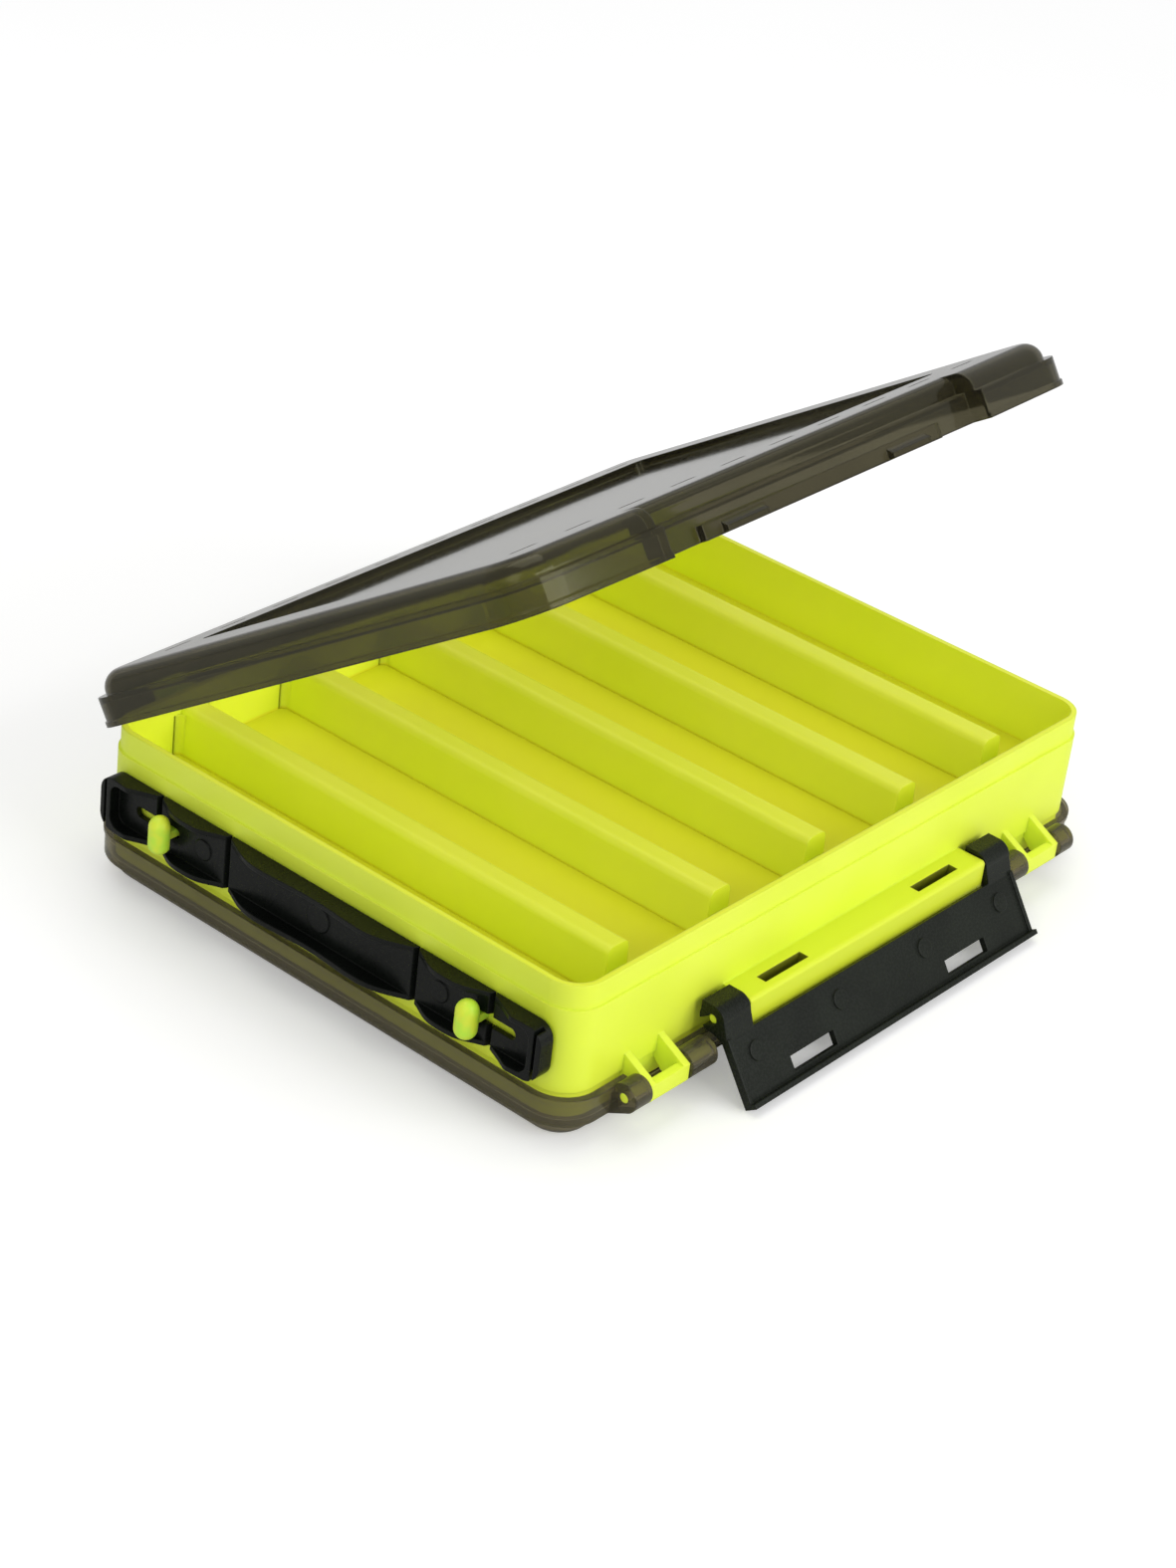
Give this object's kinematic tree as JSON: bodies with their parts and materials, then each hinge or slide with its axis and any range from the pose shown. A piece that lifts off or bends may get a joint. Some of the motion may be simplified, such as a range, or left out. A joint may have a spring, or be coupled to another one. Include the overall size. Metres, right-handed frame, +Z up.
{
  "type": "two-sided lure box",
  "caption": "Shallow two-sided tackle box: yellow tray with ribbed compartments, smoky hinged lids, snap latches and a flat strap handle.",
  "frame": {"origin": "centre of the shut lower lid's underside, on the plane of its flat border", "axes": "+X along the long walls away from the handle, +Y from the front latch to the upper lid's hinge, +Z up"},
  "size_m": [0.2053, 0.1775, 0.1309],
  "materials": {
    "yellow_body": "fluorescent yellow, slightly translucent moulded plastic, glossy",
    "yellow_peg": "fluorescent yellow moulded plastic, glossy",
    "smoky_lid": "clear smoky olive-grey plastic, polished",
    "black_latch": "black plastic, satin",
    "black_strap": "black flexible plastic, satin"
  },
  "bodies": {
    "tray": {"body_shell": "yellow_body", "upper_divider_1": "yellow_body", "upper_divider_2": "yellow_body", "upper_divider_3": "yellow_body", "upper_divider_4": "yellow_body", "upper_divider_5": "yellow_body", "lower_divider_1": "yellow_body", "lower_divider_2": "yellow_body", "lower_divider_3": "yellow_body", "lower_divider_4": "yellow_body", "lower_divider_5": "yellow_body", "handle_peg_rear": "yellow_peg", "handle_peg_front": "yellow_peg"},
    "upper_lid": {"upper_lid": "smoky_lid"},
    "lower_lid": {"lower_lid": "smoky_lid"},
    "front_latch": {"front_latch": "black_latch"},
    "rear_latch": {"rear_latch": "black_latch"},
    "handle_grip": {"handle_grip": "black_strap"},
    "handle_link_rear": {"handle_link_rear": "black_strap"},
    "handle_link_front": {"handle_link_front": "black_strap"},
    "handle_end_rear": {"handle_end_rear": "black_strap"},
    "handle_end_front": {"handle_end_front": "black_strap"}
  },
  "joints": [
    {"name": "upper_lid_hinge", "type": "hinge", "parent": "tray", "child": "upper_lid", "pos_m": [0, 0.0794, 0.03595], "axis": [-1, 0, 0], "range_deg": [-33.8, 86.2]},
    {"name": "lower_lid_hinge", "type": "hinge", "parent": "tray", "child": "lower_lid", "pos_m": [0, -0.0794, 0.01105], "axis": [-1, 0, 0], "range_deg": [0, 50]},
    {"name": "front_latch_pivot", "type": "hinge", "parent": "tray", "child": "front_latch", "pos_m": [0, -0.079, 0.0184], "axis": [-1, 0, 0], "range_deg": [0, 146]},
    {"name": "rear_latch_pivot", "type": "hinge", "parent": "tray", "child": "rear_latch", "pos_m": [0, 0.079, 0.0286], "axis": [1, 0, 0], "range_deg": [0, 85]},
    {"name": "handle_pull", "type": "slide", "parent": "tray", "child": "handle_grip", "axis": [-1, 0, 0], "range_m": [0, 0.017]},
    {"name": "link_fold_rear", "type": "hinge", "parent": "handle_grip", "child": "handle_link_rear", "pos_m": [-0.098, 0.0294, 0.0235], "axis": [0, 0, -1], "range_deg": [0, 46]},
    {"name": "end_fold_rear", "type": "hinge", "parent": "handle_link_rear", "child": "handle_end_rear", "pos_m": [-0.098, 0.052, 0.0235], "axis": [0, 0, 1], "range_deg": [0, 46]},
    {"name": "link_fold_front", "type": "hinge", "parent": "handle_grip", "child": "handle_link_front", "pos_m": [-0.098, -0.0294, 0.0235], "axis": [0, 0, 1], "range_deg": [0, 46]},
    {"name": "end_fold_front", "type": "hinge", "parent": "handle_link_front", "child": "handle_end_front", "pos_m": [-0.098, -0.052, 0.0235], "axis": [0, 0, -1], "range_deg": [0, 46]}
  ],
  "couplings": [
    {"joint": "link_fold_rear", "follows": "handle_pull", "rad_per_m": 46.5},
    {"joint": "end_fold_rear", "follows": "handle_pull", "rad_per_m": 46.5},
    {"joint": "link_fold_front", "follows": "handle_pull", "rad_per_m": 46.5},
    {"joint": "end_fold_front", "follows": "handle_pull", "rad_per_m": 46.5}
  ]
}
